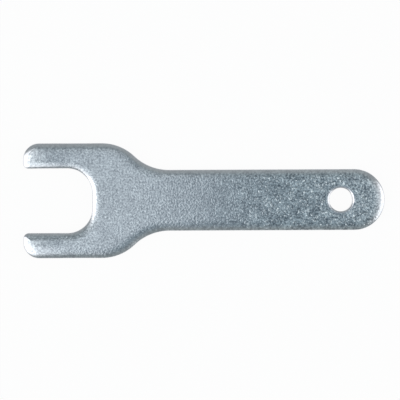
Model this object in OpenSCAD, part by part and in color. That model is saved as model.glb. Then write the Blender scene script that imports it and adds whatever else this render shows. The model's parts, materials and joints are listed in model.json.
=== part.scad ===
// Flat open-jaw spindle spanner, blanked in one stroke from zinc-plated sheet steel.
// It lies on its back face: X runs from the jaw to the handle's end, Y across, Z up through the sheet.

/* [Plate] */
// Length from the prong tips to the end of the handle
overall_l = 95; // [85:0.5:130]
// Thickness of the sheet
plate_t = 3; // [2:0.1:5]
// Width across both prongs
head_w = 30.2; // [28:0.2:36]
// Width of the handle
handle_w = 16; // [12:0.2:20]

/* [Jaw] */
// Width of the jaw across its flats
jaw_w = 17; // [15:0.2:19]
// Depth of the jaw from the tips to the throat
jaw_depth = 18.2; // [14:0.2:20]
// Radius of the two throat corners
throat_r = 6.6; // [4:0.2:8]
// Radius of a prong tip's outer corner
tip_outer_r = 4.2; // [2:0.1:5]
// Radius of a prong tip's inner corner
tip_inner_r = 1.4; // [0.8:0.1:2]

/* [Shoulders] */
// Distance from the tips to where the head begins to narrow
head_l = 20.7; // [18:0.1:26]
// Length over which the head narrows to the handle
shoulder_l = 17.75; // [14:0.05:24]
// Radius of the outward bend beside the head
head_bend_r = 12.4; // [8:0.1:14]

/* [Hanging hole] */
// Diameter of the hanging hole
hole_d = 6.2; // [4:0.1:8]
// Distance from the handle's end to the centre of the hole
hole_inset = 11.5; // [9:0.5:30]

/* [Edges] */
// Width of the die roll around the upper face
roll_w = 1.3; // [0.6:0.1:1.6]
// Depth of the die roll below the upper face
roll_h = 0.8; // [0.4:0.1:1]
// Width of the eased edge around the back face
ease_w = 0.5; // [0.2:0.1:0.8]
// Height of the eased edge above the back face
ease_h = 0.4; // [0.2:0.1:0.8]
// Width of the roll around the hanging hole
hole_roll_w = 0.5; // [0.2:0.1:0.8]
// Depth of the roll around the hanging hole
hole_roll_h = 0.4; // [0.2:0.1:0.8]

/* [Hidden] */
$fn = 96;

// Facets of each rounded edge
edge_steps = 6;
// Facets of each bend in the web's outline, which lies inside the rim
web_steps = 6;
// How far the web and the rim reach in past the die roll, so that they overlap
web_past_roll = 0.6;
rim_past_roll = 1.2;
// How far a cutter runs past the face that it cuts
past = 1;

// Least straight left at a prong's tip and at the throat between their rounded corners
least_flat = 0.2;

// Corners are limited by the prong and the jaw that they round, and edges by the tightest corner.
prong_w = (head_w - jaw_w) / 2;
tip_r = min(tip_outer_r, prong_w - tip_inner_r - least_flat);
throat_corner_r = min(throat_r, (jaw_w - least_flat) / 2);
edge_roll_w = min(roll_w, tip_inner_r);
edge_ease_w = min(ease_w, tip_inner_r);
rim_depth = edge_roll_w + rim_past_roll;

tip_x = -overall_l / 2;
throat_x = tip_x + jaw_depth;
tail_x = overall_l / 2 - handle_w / 2;
hole_x = overall_l / 2 - hole_inset;

// The shoulder is two bends, tangent to each other and to the level edges of the head and the handle.
shoulder_drop = (head_w - handle_w) / 2;
bends_r = (shoulder_l * shoulder_l + shoulder_drop * shoulder_drop) / (2 * shoulder_drop);
handle_bend_r = bends_r - head_bend_r;
shoulder_turn = asin(shoulder_l / bends_r);

// Centres of the bends on the +Y side
head_bend_at = [tip_x + head_l, head_w / 2 - head_bend_r];
handle_bend_at = [tip_x + head_l + shoulder_l, handle_w / 2 + handle_bend_r];
tip_outer_at = [tip_x + tip_r, head_w / 2 - tip_r];
tip_inner_at = [tip_x + tip_inner_r, jaw_w / 2 + tip_inner_r];
throat_at = [throat_x - throat_corner_r, jaw_w / 2 - throat_corner_r];

// Length to the nearest micron, so that neighbouring stretches of the rim share their points
function micron(length) = round(length * 1000) / 1000;

// Quarter ellipse between a wall and a face, as [distance in from the wall, distance off the face]
function quarter(width, height) =
    [for (i = [0:edge_steps])
        let (turn = 90 * i / edge_steps)
        [micron(width * (1 - cos(turn))), micron(height * (1 - sin(turn)))]];

// Section of the rim, as [distance in from the edge, height], from the back face round to the upper face
function rim_section(depth) =
    let (roll = quarter(edge_roll_w, roll_h), ease = quarter(edge_ease_w, ease_h))
    concat(
        [[depth, 0]],
        [for (i = [edge_steps:-1:0]) ease[i]],
        [for (point = roll) [point.x, plate_t - point.y]],
        [[depth, plate_t]]
    );

// Points along an arc
function arc(centre, r, from, to) =
    [for (i = [0:web_steps])
        let (turn = from + (to - from) * i / web_steps)
        centre + r * [cos(turn), sin(turn)]];

// Straight stretch of rim along +X from a corner, turned about it, with the metal on its right
module straight_rim(corner, length, turn = 0) {
    translate(corner)
        rotate(turn)
            rotate([90, 0, 90])
                linear_extrude(length)
                    polygon([for (point = rim_section(rim_depth)) [-point.x, point.y]]);
}

// Stretch of rim round a bend, with the metal inside it
module outer_rim(centre, r, from, turn = 90) {
    translate(centre)
        rotate_extrude(angle = turn, start = from)
            polygon([for (point = rim_section(min(r, rim_depth))) [r - point.x, point.y]]);
}

// Stretch of rim round a bend, with the metal outside it
module inner_rim(centre, r, from) {
    translate(centre)
        rotate_extrude(angle = 90, start = from)
            polygon([for (point = rim_section(rim_depth)) [r + point.x, point.y]]);
}

// Part of a child on one side of the line between the shoulder's two bend centres
module beside_shoulder_line(side) {
    far = side * overall_l;
    intersection() {
        children();
        translate([0, 0, -past])
            linear_extrude(plate_t + 2 * past)
                polygon([
                    head_bend_at,
                    handle_bend_at,
                    [handle_bend_at.x + far, handle_bend_at.y],
                    [head_bend_at.x + far, head_bend_at.y]
                ]);
    }
}

// Rim of the +Y half, from the handle round the prong into the jaw
module half_rim() {
    straight_rim([handle_bend_at.x, handle_w / 2], tail_x - handle_bend_at.x);
    beside_shoulder_line(1)
        inner_rim(handle_bend_at, handle_bend_r, 180);
    beside_shoulder_line(-1)
        outer_rim(head_bend_at, head_bend_r, 0);
    straight_rim([tip_outer_at.x, head_w / 2], head_l - tip_r);
    outer_rim(tip_outer_at, tip_r, 90);
    straight_rim([tip_x, tip_inner_at.y], tip_outer_at.y - tip_inner_at.y, 90);
    outer_rim(tip_inner_at, tip_inner_r, 180);
    straight_rim([throat_at.x, jaw_w / 2], throat_at.x - tip_inner_at.x, 180);
    inner_rim(throat_at, throat_corner_r, 0);
}

// Flat web that the rim surrounds
module web() {
    inset = edge_roll_w + web_past_roll;
    half = concat(
        arc([tail_x, 0], handle_w / 2 - inset, 0, 90),
        arc(handle_bend_at, handle_bend_r + inset, 270, 270 - shoulder_turn),
        arc(head_bend_at, head_bend_r - inset, 90 - shoulder_turn, 90),
        arc(tip_outer_at, tip_r - inset, 90, 180),
        [[tip_x + inset, jaw_w / 2 + inset]],
        arc(throat_at, throat_corner_r + inset, 90, 0)
    );
    other_half = [for (i = [len(half) - 1:-1:1]) [half[i].x, -half[i].y]];
    linear_extrude(plate_t)
        polygon(concat(half, other_half));
}

// Hanging hole with a small roll at both faces
module hanging_hole() {
    hole_r = hole_d / 2;
    mouth = quarter(hole_roll_w, hole_roll_h);
    lower = [for (i = [edge_steps:-1:0]) [hole_r + mouth[i].x, mouth[i].y]];
    upper = [for (point = mouth) [hole_r + point.x, plate_t - point.y]];
    translate([hole_x, 0])
        rotate_extrude()
            polygon(concat(
                [[0, -past], [hole_r + hole_roll_w, -past]],
                lower,
                upper,
                [[hole_r + hole_roll_w, plate_t + past], [0, plate_t + past]]
            ));
}

module spanner_plate() {
    color("#a5b2ba")
        difference() {
            union() {
                web();
                outer_rim([tail_x, 0], handle_w / 2, -90, 180);
                straight_rim([throat_x, -throat_at.y], 2 * throat_at.y, 90);
                for (side = [0, 1])
                    mirror([0, side, 0])
                        half_rim();
            }
            hanging_hole();
        }
}

spanner_plate();
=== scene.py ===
import json
import math

import bmesh
import bpy
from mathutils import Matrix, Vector, kdtree, noise


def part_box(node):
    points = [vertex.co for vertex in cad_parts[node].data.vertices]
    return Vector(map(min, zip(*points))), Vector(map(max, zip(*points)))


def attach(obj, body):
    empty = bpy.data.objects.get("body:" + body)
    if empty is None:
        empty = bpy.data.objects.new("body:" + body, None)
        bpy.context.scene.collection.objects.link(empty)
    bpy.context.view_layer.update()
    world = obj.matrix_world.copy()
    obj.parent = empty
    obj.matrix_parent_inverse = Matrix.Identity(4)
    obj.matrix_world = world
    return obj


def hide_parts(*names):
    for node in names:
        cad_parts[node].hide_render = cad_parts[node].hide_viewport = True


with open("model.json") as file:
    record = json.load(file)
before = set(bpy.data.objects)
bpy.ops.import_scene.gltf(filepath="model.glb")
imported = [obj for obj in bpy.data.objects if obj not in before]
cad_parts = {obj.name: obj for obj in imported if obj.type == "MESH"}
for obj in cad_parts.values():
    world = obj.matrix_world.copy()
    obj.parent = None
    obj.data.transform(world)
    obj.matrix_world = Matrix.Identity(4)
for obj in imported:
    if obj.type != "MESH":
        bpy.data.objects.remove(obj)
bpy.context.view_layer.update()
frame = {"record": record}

# The spanner is one blank of 3 mm sheet steel, punched out in a single stroke, tumbled and then zinc plated.
# The die draws the upper edge down into a smooth roll and bows the narrow prong tips down. Below the roll
# the wall is burnished, then torn, and tumbling has eased the torn edge.
MM = 0.001
mounts = {mount["name"]: mount for mount in frame["record"]["mounts"]}
plate_low, plate_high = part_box("spanner_plate")
sheet = plate_high.z - plate_low.z
head_half = plate_high.y
tip_x = plate_low.x
jaw_half = mounts["jaw_flat_left"]["pos_m"][1]
handle_half = 8 * MM
jaw_depth = 18.2 * MM
throat_r = 6.6 * MM
tip_outer_r = 4.2 * MM
tip_inner_r = 1.4 * MM
head_length = 20.7 * MM
shoulder_length = 17.75 * MM
head_bend_r = 12.4 * MM

# Centres of the outline's arcs; a shoulder is two arcs that run into each other
tail_x = plate_high.x - handle_half
throat_x = tip_x + jaw_depth
shoulder_drop = head_half - handle_half
handle_bend_r = (shoulder_length**2 + shoulder_drop**2) / (2 * shoulder_drop) - head_bend_r
shoulder_turn = math.asin(shoulder_length / (head_bend_r + handle_bend_r))
head_bend = Vector((tip_x + head_length, head_half - head_bend_r, 0))
handle_bend = Vector((tip_x + head_length + shoulder_length, handle_half + handle_bend_r, 0))
tip_outer = Vector((tip_x + tip_outer_r, head_half - tip_outer_r, 0))
tip_inner = Vector((tip_x + tip_inner_r, jaw_half + tip_inner_r, 0))
throat = Vector((throat_x - throat_r, jaw_half - throat_r, 0))
quarter_turn = math.radians(90)

# Points that are closer than this are at the same place
on_line = 0.001 * MM


def pick(test):
    """Selects the vertices of the mesh being edited that pass a test."""
    bpy.ops.mesh.select_all(action="DESELECT")
    edited = bmesh.from_edit_mesh(bpy.context.object.data)
    for vertex in edited.verts:
        vertex.select_set(test(vertex))
    edited.select_flush(True)
    bmesh.update_edit_mesh(bpy.context.object.data)


def picked():
    """The selected vertices of the mesh being edited."""
    return [vertex for vertex in bmesh.from_edit_mesh(bpy.context.object.data).verts if vertex.select]


def run_to(x, y, steps, z=0):
    """Extrudes the drawn line's open end straight to a point."""
    step = (Vector((x, y, z)) - picked()[0].co) / steps
    for _ in range(steps):
        bpy.ops.mesh.extrude_vertices_move(TRANSFORM_OT_translate={"value": step})


def bend_round(centre, clockwise, steps):
    """Spins the outline's open end clockwise about a centre."""
    bpy.ops.mesh.spin(steps=steps, angle=clockwise, center=centre, axis=(0, 0, 1))


# Half of the outline, from the round end of the handle to the middle of the throat
end_steps = 24
handle_steps = 110
shoulder_steps = 24
head_steps = 38
tip_outer_steps = 24
front_steps = 3
tip_inner_steps = 16
flat_steps = 24
throat_steps = 30
throat_middle_steps = 4
bpy.ops.object.select_all(action="DESELECT")
bpy.ops.mesh.primitive_circle_add(vertices=4 * end_steps, radius=handle_half, location=(tail_x, 0, 0))
blank = bpy.context.object
blank.name = "spanner_blank"
bpy.ops.object.transform_apply(location=True, rotation=False, scale=False)
bpy.ops.object.mode_set(mode="EDIT")
pick(lambda vertex: vertex.co.x < tail_x - on_line or vertex.co.y < -on_line)
bpy.ops.mesh.delete(type="VERT")
pick(lambda vertex: vertex.co.x < tail_x + on_line)
run_to(handle_bend.x, handle_half, handle_steps)
bend_round(handle_bend, shoulder_turn, shoulder_steps)
bend_round(head_bend, -shoulder_turn, shoulder_steps)
run_to(tip_outer.x, head_half, head_steps)
bend_round(tip_outer, -quarter_turn, tip_outer_steps)
run_to(tip_x, tip_inner.y, front_steps)
bend_round(tip_inner, -quarter_turn, tip_inner_steps)
run_to(throat.x, jaw_half, flat_steps)
bend_round(throat, quarter_turn, throat_steps)
run_to(throat_x, 0, throat_middle_steps)

# Shares that the material reads: how calm the grain is, how much polishing pales the plate as a painted
# highlight, and where the wall is torn
edited = bmesh.from_edit_mesh(blank.data)
for share_name in ("calm", "polish_and_highlight", "tear"):
    edited.verts.layers.float.new(share_name)

# Stations along the outline: each point, and the way in from the edge there
station = edited.verts.layers.int.new("station")
chain = [max(edited.verts, key=lambda vertex: vertex.co.x)]
while len(chain) < len(edited.verts):
    neighbours = [edge.other_vert(chain[-1]) for edge in chain[-1].link_edges]
    chain.append(next(vertex for vertex in neighbours if vertex not in chain))
points = [vertex.co.copy() for vertex in chain]
across = Vector((1, -1, 1))
points = [points[1] * across] + points + [points[-2] * across]
stations = []
for index, vertex in enumerate(chain):
    vertex[station] = index
    along = points[index + 2] - points[index]
    stations.append((vertex.co.copy(), Vector((-along.y, along.x, 0)).normalized()))

# The section of the edge, ring by ring from the back face up the wall and in over the upper face, still flat
rim_width = 1.3 * MM
ease_width = 0.5 * MM
ease_height = 0.4 * MM
tear_height = 1.2 * MM
tear_taper = 0.08 * MM
tear_depth = 0.02 * MM
tear_grain = 0.7 * MM
ease_steps = 5
tear_steps = 4
rim_steps = 12


def set_ring(inset, height, tear=0):
    """Sets the selected ring in from the outline at a height, unevenly where the metal tore."""
    edited = bmesh.from_edit_mesh(blank.data)
    station = edited.verts.layers.int["station"]
    tear_share = edited.verts.layers.float["tear"]
    for vertex in picked():
        point, inward = stations[vertex[station]]
        ragged = tear * noise.noise(Vector((point.x, point.y, height)) / tear_grain)
        vertex.co = point + inward * (inset + ragged)
        vertex.co.z = height
        vertex[tear_share] = 1 if tear else 0
    bmesh.update_edit_mesh(blank.data)


def add_ring(inset, height, tear=0):
    """Extrudes the selected ring and sets its copy."""
    bpy.ops.mesh.extrude_region_move()
    set_ring(inset, height, tear)


bpy.ops.mesh.select_all(action="SELECT")
set_ring(ease_width + tear_taper, 0)
for step in range(1, ease_steps + 1):
    turn = quarter_turn * step / ease_steps
    add_ring(ease_width * (1 - math.sin(turn)) + tear_taper, ease_height * (1 - math.cos(turn)))
for step in range(1, tear_steps + 1):
    share = step / tear_steps
    height = ease_height + (tear_height - ease_height) * share
    add_ring(tear_taper * (1 - share), height, tear_depth * (1 - share))
for step in range(0, rim_steps + 1):
    turn = quarter_turn * step / rim_steps
    add_ring(rim_width * (1 - math.cos(turn)), sheet)

# The face inside the rim, filled with a grid between the prong's front and the handle's end
rim = picked()
grid_side = 15
steps_to_front = end_steps + handle_steps + 2 * shoulder_steps + head_steps + tip_outer_steps
front_station = steps_to_front + front_steps // 2
tip_start = front_station - grid_side // 2
tip_end = tip_start + grid_side
last_station = len(stations) - 1
axis_steps = (tip_start - grid_side) - (last_station - tip_end)
pick(lambda vertex: vertex in rim and vertex.co.y < on_line and vertex.co.x < 0)
run_to(plate_high.x - rim_width, 0, axis_steps, sheet)
bpy.ops.mesh.select_all(action="SELECT")
bpy.ops.mesh.remove_doubles(threshold=on_line)
bpy.ops.mesh.select_mode(type="EDGE")
bpy.ops.mesh.select_all(action="DESELECT")
edited = bmesh.from_edit_mesh(blank.data)
station = edited.verts.layers.int["station"]
for edge in edited.edges:
    first, last = sorted(vertex[station] for vertex in edge.verts)
    on_rim = edge.is_boundary and first < last and edge.verts[0].co.z > sheet / 2
    at_front = tip_start <= first and last <= tip_end
    edge.select_set(on_rim and (at_front or last <= grid_side))
bmesh.update_edit_mesh(blank.data)
bpy.ops.mesh.fill_grid()
bpy.ops.mesh.select_mode(type="VERT")
bpy.ops.object.mode_set(mode="OBJECT")

# The other half, and the flat back face
other_half = blank.modifiers.new("other half", "MIRROR")
other_half.use_axis = (False, True, False)
other_half.merge_threshold = on_line
bpy.ops.object.modifier_apply(modifier=other_half.name)
bpy.ops.object.mode_set(mode="EDIT")
bpy.ops.mesh.select_mode(type="EDGE")
bpy.ops.mesh.select_all(action="DESELECT")
bpy.ops.mesh.select_non_manifold()
bpy.ops.mesh.edge_face_add()
bpy.ops.mesh.select_mode(type="VERT")
bpy.ops.mesh.select_all(action="SELECT")
bpy.ops.mesh.remove_doubles(threshold=on_line)
bpy.ops.mesh.normals_make_consistent(inside=False)

# The die's roll over the edge of the upper face: shallow and narrow along the jaw's left flat, at +Y, wider
# in the throat and widest along the right flat. Both prong tips bow down.
roll_depth = 0.69 * MM
roll_outside = 2.8 * MM
left_jaw_depth = 0.45 * MM
roll_left_jaw = 1.97 * MM
roll_throat = 2.3 * MM
roll_right_jaw = 3.4 * MM
right_jaw_start = -2 * MM
roll_tip = 2.6 * MM
bow_length = 10.1 * MM
bow_depth = 0.76 * MM

# Tumbling left the rolled edges plainer, with a calmer grain, and a paler plate paints a highlight on them;
# both are weaker on the edges that face right
plain_highlit_outside = 2.3 * MM
plain_highlit_end = 3.6 * MM
plain_highlit_left_jaw = 1.8 * MM
plain_highlit_right_jaw = 1.6 * MM
calm_full = 0.5
most_calm = 0.9
calm_loss = 0.7
tip_calm = 0.8
tip_calm_start = tip_x + 16 * MM
tip_calm_full = tip_x + 4 * MM
# How much polishing pales the rolled edges' plate colour, a painted highlight
polish_highlight_start = 0.26
polish_highlight_full = 0.94
most_polish_highlight = 0.8
highlight_loss_outside = 0.5
highlight_loss_jaw = 0.24


def ramp(value, start, end):
    """Smooth share from 0 at the start to 1 at the end."""
    share = min(max((value - start) / (end - start), 0), 1)
    return share * share * (3 - 2 * share)


def between(first, second, share):
    """Size between two others."""
    return first + (second - first) * share


def nearest_edge(indexes):
    """Search tree of some of the outline's stations."""
    tree = kdtree.KDTree(len(indexes))
    for index in indexes:
        tree.insert(stations[index][0], index)
    tree.balance()
    return tree


outside = nearest_edge(range(0, front_station + 1))
jaw = nearest_edge(range(front_station, len(stations)))
edited = bmesh.from_edit_mesh(blank.data)
calm_share = edited.verts.layers.float["calm"]
polish_highlight_share = edited.verts.layers.float["polish_and_highlight"]
for vertex in edited.verts:
    flat = Vector((vertex.co.x, abs(vertex.co.y), 0))
    to_throat = ramp(vertex.co.y, jaw_half, 0)
    to_right = ramp(vertex.co.y, right_jaw_start, -jaw_half)
    jaw_width = between(between(roll_left_jaw, roll_throat, to_throat), roll_right_jaw, to_right)
    jaw_drop = between(left_jaw_depth, roll_depth, to_throat)
    jaw_plain_highlit = between(plain_highlit_left_jaw, plain_highlit_right_jaw, to_right)
    sides = (
        (outside, roll_outside, roll_depth, plain_highlit_outside, highlight_loss_outside),
        (jaw, jaw_width, jaw_drop, jaw_plain_highlit, highlight_loss_jaw),
    )
    calm_near_tip = tip_calm * ramp(vertex.co.x, tip_calm_start, tip_calm_full)
    vertex[calm_share] = calm_near_tip
    drop = 0
    for side, width, depth, plain, highlight_loss in sides:
        point, inward = stations[side.find(flat)[1]]
        at_tip = max(inward.x, 0) ** 2 if point.x < tip_outer.x else 0
        at_end = max(-inward.x, 0) ** 2 if point.x > tail_x else 0
        inset = max((flat - point).dot(inward), 0)
        share = max(1 - inset / between(width, roll_tip, at_tip), 0)
        side_drop = between(depth, roll_depth, at_tip) * (1 - math.sqrt(1 - share * share))
        if side_drop > drop:
            drop = side_drop
            faces_right = max(inward.y if vertex.co.y > 0 else -inward.y, 0)
            plain_and_highlit_width = between(between(plain, roll_tip, at_tip), plain_highlit_end, at_end)
            plain_and_highlit_share = max(1 - inset / plain_and_highlit_width, 0)
            calm = ramp(plain_and_highlit_share, 0, calm_full) * (most_calm - calm_loss * faces_right)
            vertex[calm_share] = max(calm, calm_near_tip)
            # Paler plate on the rolled edges, a painted highlight, weaker where the edge faces right
            polish_and_highlight = ramp(plain_and_highlit_share, polish_highlight_start, polish_highlight_full)
            vertex[polish_highlight_share] = polish_and_highlight * (most_polish_highlight - highlight_loss * faces_right)
    if vertex.co.z > sheet - on_line:
        vertex.co.z = sheet - drop
    bow = max(1 - (vertex.co.x - tip_x) / bow_length, 0) ** 2
    vertex.co.z -= bow_depth * bow * vertex.co.z / sheet
bmesh.update_edit_mesh(blank.data)
pick(lambda vertex: vertex.co.z > sheet - roll_depth and vertex.co.x < throat_x)
bpy.ops.mesh.vertices_smooth(factor=0.5, repeat=6, xaxis=False, yaxis=False)
bpy.ops.object.mode_set(mode="OBJECT")

# The hanging hole: a cutter with two flared mouths leaves a small roll above and an eased edge below
hole_x = mounts["hanging_hole"]["pos_m"][0]
hole_r = mounts["hanging_hole"]["dims"]["r_mm"] * MM
hole_roll_width = 0.55 * MM
hole_roll_depth = 0.25 * MM
hole_ease = 0.4 * MM
past_face = 1 * MM
hole_sides = 80
hole_ease_steps = 6
hole_roll_steps = 12
hole_section = [(hole_r + hole_ease, -past_face)]
for step in range(0, hole_ease_steps + 1):
    turn = quarter_turn * step / hole_ease_steps
    hole_section.append((hole_r + hole_ease * (1 - math.sin(turn)), hole_ease * (1 - math.cos(turn))))
for step in range(0, hole_roll_steps + 1):
    turn = quarter_turn * step / hole_roll_steps
    mouth_r = hole_r + hole_roll_width * (1 - math.cos(turn))
    hole_section.append((mouth_r, sheet - hole_roll_depth * (1 - math.sin(turn))))
hole_section.append((hole_r + hole_roll_width, sheet + past_face))
bpy.ops.object.select_all(action="DESELECT")
axis = Vector((hole_x, 0, 0))
bpy.ops.mesh.primitive_circle_add(vertices=hole_sides, radius=hole_r, fill_type="NGON", location=axis)
punch = bpy.context.object
bpy.ops.object.transform_apply(location=True, rotation=False, scale=False)
bpy.ops.object.mode_set(mode="EDIT")
bpy.ops.mesh.select_all(action="SELECT")
for index, (radius, height) in enumerate(hole_section):
    if index > 0:
        bpy.ops.mesh.extrude_region_move()
    for vertex in picked():
        flat = Vector((vertex.co.x, vertex.co.y, 0)) - axis
        vertex.co = axis + flat.normalized() * radius
        vertex.co.z = height
    bmesh.update_edit_mesh(punch.data)
bpy.ops.mesh.select_mode(type="EDGE")
bpy.ops.mesh.select_non_manifold()
bpy.ops.mesh.edge_face_add()
bpy.ops.mesh.select_mode(type="VERT")
bpy.ops.mesh.select_all(action="SELECT")
bpy.ops.mesh.normals_make_consistent(inside=False)
bpy.ops.object.mode_set(mode="OBJECT")
bpy.ops.object.select_all(action="DESELECT")
blank.select_set(True)
bpy.context.view_layer.objects.active = blank
hole = blank.modifiers.new("hanging hole", "BOOLEAN")
hole.operation = "DIFFERENCE"
hole.object = punch
bpy.ops.object.modifier_apply(modifier=hole.name)
bpy.data.objects.remove(punch)

# Smooth shading that leaves the flat faces flat
sharp_angle = math.radians(40)
bpy.ops.object.shade_smooth_by_angle(angle=sharp_angle)
even_faces = blank.modifiers.new("even faces", "WEIGHTED_NORMAL")
even_faces.keep_sharp = True
bpy.ops.object.modifier_apply(modifier=even_faces.name)


def colour(hex_code):
    """Linear colour with full cover from an sRGB hex code."""
    parts = [int(hex_code[i:i + 2], 16) / 255 for i in (1, 3, 5)]
    return [part / 12.92 if part <= 0.04045 else ((part + 0.055) / 1.055) ** 2.4 for part in parts] + [1]


def add_node(tree, kind, settings=None, links=None):
    """Adds a node, sets its properties and inputs, and links inputs, by name or number, to outputs."""
    node = tree.nodes.new(kind)
    for name, value in (settings or {}).items():
        if isinstance(name, int) or name in node.inputs:
            node.inputs[name].default_value = value
        else:
            setattr(node, name, value)
    for name, output in (links or {}).items():
        tree.links.new(output, node.inputs[name])
    return node


# Bright zinc plate with a thin blue passivate, over tumbled steel. The eye sees fine dimples and faint
# clouds, with glints of larger zinc crystals towards the handle's end. The rolled edges are plainer, with a
# painted highlight in their paler colour, and the torn wall is matte. Sizes and places in its patterns are in
# millimetres.
zinc = bpy.data.materials.new("bright zinc plate, blue passivate")
zinc.use_nodes = True
tree = zinc.node_tree
shader = tree.nodes["Principled BSDF"]
shader.inputs["Metallic"].default_value = 1
dimple_size = 0.5
cloud_size = 2
crystal_size = 0.7
bump_height = 0.2 * MM
face_bump = 0.3
edge_bump = 0.05
plate_roughness = 0.14
torn_roughness = 0.4
in_mm = {"Scale": (1 / MM, 1 / MM, 1 / MM)}
object_place = add_node(tree, "ShaderNodeTexCoord").outputs["Object"]
place = add_node(tree, "ShaderNodeMapping", in_mm, {"Vector": object_place}).outputs["Vector"]
from_middle = add_node(tree, "ShaderNodeSeparateXYZ", links={"Vector": place}).outputs["X"]
dimples = add_node(tree, "ShaderNodeTexNoise", {"Scale": 1 / dimple_size, "Detail": 2}, {"Vector": place})
clouds = add_node(tree, "ShaderNodeTexNoise", {"Scale": 1 / cloud_size, "Detail": 2}, {"Vector": place})
crystals = add_node(tree, "ShaderNodeTexNoise", {"Scale": 1 / crystal_size, "Detail": 0}, {"Vector": place})
calmed = add_node(tree, "ShaderNodeAttribute", {"attribute_name": "calm"}).outputs["Fac"]
polished_and_highlit = add_node(tree, "ShaderNodeAttribute", {"attribute_name": "polish_and_highlight"}).outputs["Fac"]
torn = add_node(tree, "ShaderNodeAttribute", {"attribute_name": "tear"}).outputs["Fac"]

# Its colour: dimples with more and more cloud along the handle, evener on the head, and plain and paler where
# polishing pales it, which paints a highlight on the rolled edges
cloudier = {"From Min": -5, "From Max": 22, "To Min": 0.22, "To Max": 0.36}
cloud_share = add_node(tree, "ShaderNodeMapRange", cloudier, {"Value": from_middle})
spread = add_node(tree, "ShaderNodeMix", links={
    "Factor": cloud_share.outputs["Result"],
    "A": dimples.outputs["Fac"],
    "B": clouds.outputs["Fac"],
})
speckle = add_node(tree, "ShaderNodeValToRGB", links={"Fac": spread.outputs["Result"]})
speckle.color_ramp.elements[0].position = 0.38
speckle.color_ramp.elements[0].color = colour("#7b848c")
speckle.color_ramp.elements[1].position = 0.675
speckle.color_ramp.elements[1].color = colour("#f4fcff")
less_even = {"From Min": 0, "From Max": 20, "To Min": 0.47, "To Max": 0}
head_share = add_node(tree, "ShaderNodeMapRange", less_even, {"Value": from_middle})
grained = add_node(tree, "ShaderNodeMix", {"data_type": "RGBA", 7: colour("#c3c5ca")}, {
    0: head_share.outputs["Result"],
    6: speckle.outputs["Color"],
})
# The paler colour where polishing pales the plate paints a highlight on the rolled edges
surface = add_node(tree, "ShaderNodeMix", {"data_type": "RGBA", 7: colour("#e1dfe4")}, {
    0: polished_and_highlit,
    6: grained.outputs[2],
})
tree.links.new(surface.outputs[2], shader.inputs["Base Color"])

# Its gloss, and its relief of dimples and crystals, calmer on the rolled edges
rougher = {"To Min": plate_roughness, "To Max": torn_roughness}
matte = add_node(tree, "ShaderNodeMapRange", rougher, {"Value": torn})
tree.links.new(matte.outputs["Result"], shader.inputs["Roughness"])
higher = {"From Min": 4, "From Max": 20, "To Min": 0, "To Max": 0.75}
crystal_height = add_node(tree, "ShaderNodeMapRange", higher, {"Value": from_middle})
glints = add_node(tree, "ShaderNodeMapRange", {"From Min": 0.65, "From Max": 0.75, "To Min": 0}, {
    "Value": crystals.outputs["Fac"],
    "To Max": crystal_height.outputs["Result"],
})
relief = add_node(tree, "ShaderNodeMath", {"operation": "ADD"}, {
    0: dimples.outputs["Fac"],
    1: glints.outputs["Result"],
})
calmer = {"To Min": face_bump, "To Max": edge_bump}
bump_share = add_node(tree, "ShaderNodeMapRange", calmer, {"Value": calmed})
grain = add_node(tree, "ShaderNodeBump", {"Distance": bump_height}, {
    "Strength": bump_share.outputs["Result"],
    "Height": relief.outputs[0],
})
tree.links.new(grain.outputs["Normal"], shader.inputs["Normal"])
blank.data.materials.append(zinc)
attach(blank, "root")
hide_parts("spanner_plate")

# The floor is a wide sheet of pale matte paper that the spanner lies on. To the camera it glows almost white
# and keeps the spanner's faint shadow; in the metal's reflections it glows less.
floor_size = 6
floor_gap = 0.05 * MM
glow_to_camera = 0.95
glow_in_metal = 0.6
bpy.ops.object.select_all(action="DESELECT")
bpy.ops.mesh.primitive_plane_add(size=floor_size, location=(0, 0, -floor_gap))
floor = bpy.context.object
floor.name = "white_paper"
paper = bpy.data.materials.new("white paper")
paper.use_nodes = True
tree = paper.node_tree
paper_face = add_node(tree, "ShaderNodeBsdfDiffuse", {"Color": colour("#e6e6e6")})
paper_glow = add_node(tree, "ShaderNodeEmission", {"Color": colour("#ffffff"), "Strength": 1})
rays = add_node(tree, "ShaderNodeLightPath").outputs
mirrored = add_node(tree, "ShaderNodeMath", {"operation": "MULTIPLY", 1: glow_in_metal}, {
    0: rays["Is Glossy Ray"],
})
glow_share = add_node(tree, "ShaderNodeMath", {"operation": "MULTIPLY_ADD", 1: glow_to_camera}, {
    0: rays["Is Camera Ray"],
    2: mirrored.outputs[0],
})
lit_paper = add_node(tree, "ShaderNodeMixShader", links={
    0: glow_share.outputs[0],
    1: paper_face.outputs[0],
    2: paper_glow.outputs[0],
})
tree.links.new(lit_paper.outputs[0], tree.nodes["Material Output"].inputs["Surface"])
floor.data.materials.append(paper)


def softbox(name, place, width, length, glow):
    """Area light that faces down, in millimetres, as bright as a white card at a glow of 1."""
    light = bpy.data.lights.new(name, "AREA")
    light.shape = "RECTANGLE"
    light.size = width * MM
    light.size_y = length * MM
    light.energy = glow * math.pi * light.size * light.size_y
    lamp = bpy.data.objects.new(name, light)
    bpy.context.scene.collection.objects.link(lamp)
    lamp.location = Vector(place) * MM
    lamp.visible_camera = False


# The studio has a dim panel over the head, one past the handle's end and one past the jaw. Its grey room is
# darkest overhead, with walls that brighten past the jaw and past the handle's end. The camera sees the room
# as plain white.
softbox("head panel", (-30.6, 26.4, 300), 63, 132, 0.45)
softbox("end panel", (123.8, 12.6, 300), 96, 94, 0.44)
softbox("jaw panel", (-129.2, -100.3, 350), 188, 161, 0.50)
room = bpy.data.worlds.new("studio room")
bpy.context.scene.world = room
room.use_nodes = True
tree = room.node_tree
way = add_node(tree, "ShaderNodeTexCoord").outputs["Generated"]


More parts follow.
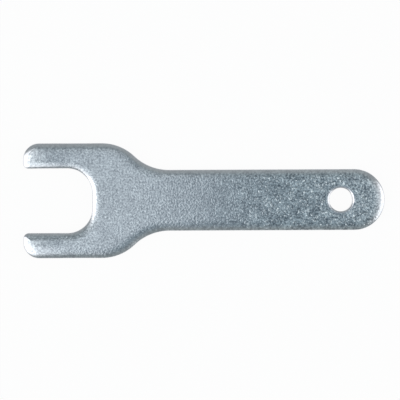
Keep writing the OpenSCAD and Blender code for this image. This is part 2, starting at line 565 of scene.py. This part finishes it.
def wall_share(azimuth, elevation, cosines, values):
    """Value that changes over a range of cosines from a direction in the room, which is in degrees."""
    turn = math.radians(azimuth)
    rise = math.radians(elevation)
    towards = (math.cos(turn) * math.cos(rise), math.sin(turn) * math.cos(rise), math.sin(rise))
    nearness = add_node(tree, "ShaderNodeVectorMath", {"operation": "DOT_PRODUCT", 1: towards}, {0: way})
    ranges = {"From Min": cosines[0], "From Max": cosines[1], "To Min": values[0], "To Max": values[1]}
    share = add_node(tree, "ShaderNodeMapRange", ranges, {"Value": nearness.outputs["Value"]})
    return share.outputs["Result"]


# The grey of the room, by its distance from the darkest place
room_light = tree.nodes["Background"]
darkest = (-0.053, -0.074, 0.996)
from_dark = add_node(tree, "ShaderNodeVectorMath", {"operation": "DISTANCE", 1: darkest}, {0: way})
room_tone = add_node(tree, "ShaderNodeValToRGB", links={"Fac": from_dark.outputs["Value"]})
room_tone.color_ramp.elements[0].position = 0
room_tone.color_ramp.elements[0].color = colour("#91a2ae")
room_tone.color_ramp.elements[1].position = 0.6
room_tone.color_ramp.elements[1].color = colour("#a8b0b1")
tree.links.new(room_tone.outputs["Color"], room_light.inputs["Color"])
tree.links.new(wall_share(270, 35, (0.60, 1.01), (1, 0.92)), room_light.inputs["Strength"])

# The wall past the jaw brightens in two steps, fades towards the floor and ends on both sides
jaw_wall_middle = -0.15
across_room = add_node(tree, "ShaderNodeSeparateXYZ", links={"Vector": way}).outputs["Y"]
off_middle = add_node(tree, "ShaderNodeMath", {"operation": "SUBTRACT", 1: jaw_wall_middle}, {0: across_room})
aside = add_node(tree, "ShaderNodeMath", {"operation": "ABSOLUTE"}, {0: off_middle.outputs[0]})
jaw_wall_ends = add_node(tree, "ShaderNodeMapRange", {"From Min": 0.46, "From Max": 0.29}, {
    "Value": aside.outputs[0],
})
jaw_wall_steps = add_node(tree, "ShaderNodeMath", {"operation": "ADD"}, {
    0: wall_share(180, 20, (0.56, 0.74), (0, 1.1)),
    1: wall_share(180, 20, (0.42, 0.50), (0, 0.38)),
})
jaw_wall_fade = add_node(tree, "ShaderNodeMath", {"operation": "MULTIPLY"}, {
    0: jaw_wall_steps.outputs[0],
    1: wall_share(0, 90, (0.05, 0.42), (0.1, 1)),
})
jaw_wall_glow = add_node(tree, "ShaderNodeMath", {"operation": "MULTIPLY"}, {
    0: jaw_wall_fade.outputs[0],
    1: jaw_wall_ends.outputs["Result"],
})

# Both walls and the room together, and white for the camera
white = {"Color": colour("#ffffff"), "Strength": 1}
end_wall_glow = wall_share(-6.7, 34, (0.8, 0.93), (0, 1.2))
jaw_wall = add_node(tree, "ShaderNodeBackground", white, {"Strength": jaw_wall_glow.outputs[0]})
end_wall = add_node(tree, "ShaderNodeBackground", white, {"Strength": end_wall_glow})
backdrop = add_node(tree, "ShaderNodeBackground", white)
walls = add_node(tree, "ShaderNodeAddShader", links={0: jaw_wall.outputs[0], 1: end_wall.outputs[0]})
whole_room = add_node(tree, "ShaderNodeAddShader", links={0: room_light.outputs[0], 1: walls.outputs[0]})
sky = add_node(tree, "ShaderNodeMixShader", links={
    0: add_node(tree, "ShaderNodeLightPath").outputs["Is Camera Ray"],
    1: whole_room.outputs[0],
    2: backdrop.outputs[0],
})
tree.links.new(sky.outputs[0], tree.nodes["World Output"].inputs["Surface"])

# The camera looks straight down from half a metre, and is turned a quarter of a degree as in the photograph
camera_height = 500 * MM
photo_width = 105 * MM
camera_x = -1.01 * MM
camera_y = 0.04 * MM
camera_turn = math.radians(-0.25)
lens = bpy.data.cameras.new("camera")
lens.sensor_width = 36
lens.lens = lens.sensor_width * camera_height / photo_width
camera = bpy.data.objects.new("camera", lens)
bpy.context.scene.collection.objects.link(camera)
camera.location = (camera_x, camera_y, sheet + camera_height)
camera.rotation_euler = (0, 0, camera_turn)
bpy.context.scene.camera = camera
bpy.context.scene.view_settings.view_transform = "Standard"
